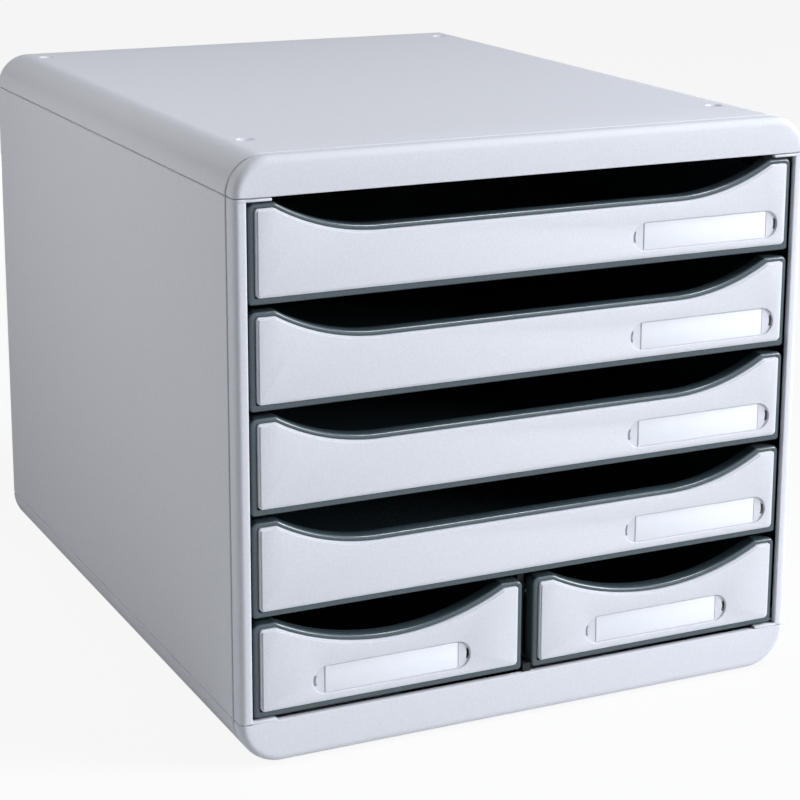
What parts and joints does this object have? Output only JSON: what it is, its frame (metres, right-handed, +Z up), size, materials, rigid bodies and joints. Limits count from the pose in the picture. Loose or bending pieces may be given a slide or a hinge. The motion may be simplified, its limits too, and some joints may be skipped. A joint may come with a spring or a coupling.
{
  "type": "desktop file drawer",
  "caption": "Desktop cabinet for A4 paper with full-width drawers above a pair of half-width drawers, scooped finger grips and label windows.",
  "frame": {"origin": "centre of the footprint, on the surface it stands on", "axes": "+X to the right seen from the front, +Y to the back (the drawers open towards -Y), +Z up"},
  "size_m": [0.285, 0.356, 0.2722],
  "materials": {
    "case": "light grey moulded polystyrene, fine matte grain",
    "facing": "light grey moulded polystyrene, fine matte grain",
    "tray": "charcoal moulded polystyrene, satin",
    "runner": "black moulded polystyrene, matte",
    "window": "clear polystyrene, polished",
    "card": "white paper card"
  },
  "bodies": {
    "casing": {"top_cover": "case", "bottom_cover": "case", "left_side": "case", "right_side": "case", "rear_panel": "case", "left_runners": "runner", "right_runners": "runner", "centre_partition": "runner", "feet": "runner"},
    "drawer_1": {"tray_1": "tray", "facing_1": "facing", "label_window_1": "window", "label_card_1": "card"},
    "drawer_2": {"tray_2": "tray", "facing_2": "facing", "label_window_2": "window", "label_card_2": "card"},
    "drawer_3": {"tray_3": "tray", "facing_3": "facing", "label_window_3": "window", "label_card_3": "card"},
    "drawer_4": {"tray_4": "tray", "facing_4": "facing", "label_window_4": "window", "label_card_4": "card"},
    "drawer_left": {"tray_left": "tray", "facing_left": "facing", "label_window_left": "window", "label_card_left": "card"},
    "drawer_right": {"tray_right": "tray", "facing_right": "facing", "label_window_right": "window", "label_card_right": "card"}
  },
  "joints": [
    {"name": "drawer_1_slide", "type": "slide", "parent": "casing", "child": "drawer_1", "axis": [0, -1, 0], "range_m": [0, 0.26]},
    {"name": "drawer_2_slide", "type": "slide", "parent": "casing", "child": "drawer_2", "axis": [0, -1, 0], "range_m": [0, 0.26]},
    {"name": "drawer_3_slide", "type": "slide", "parent": "casing", "child": "drawer_3", "axis": [0, -1, 0], "range_m": [0, 0.26]},
    {"name": "drawer_4_slide", "type": "slide", "parent": "casing", "child": "drawer_4", "axis": [0, -1, 0], "range_m": [0, 0.26]},
    {"name": "drawer_left_slide", "type": "slide", "parent": "casing", "child": "drawer_left", "axis": [0, -1, 0], "range_m": [0, 0.26]},
    {"name": "drawer_right_slide", "type": "slide", "parent": "casing", "child": "drawer_right", "axis": [0, -1, 0], "range_m": [0, 0.26]}
  ]
}
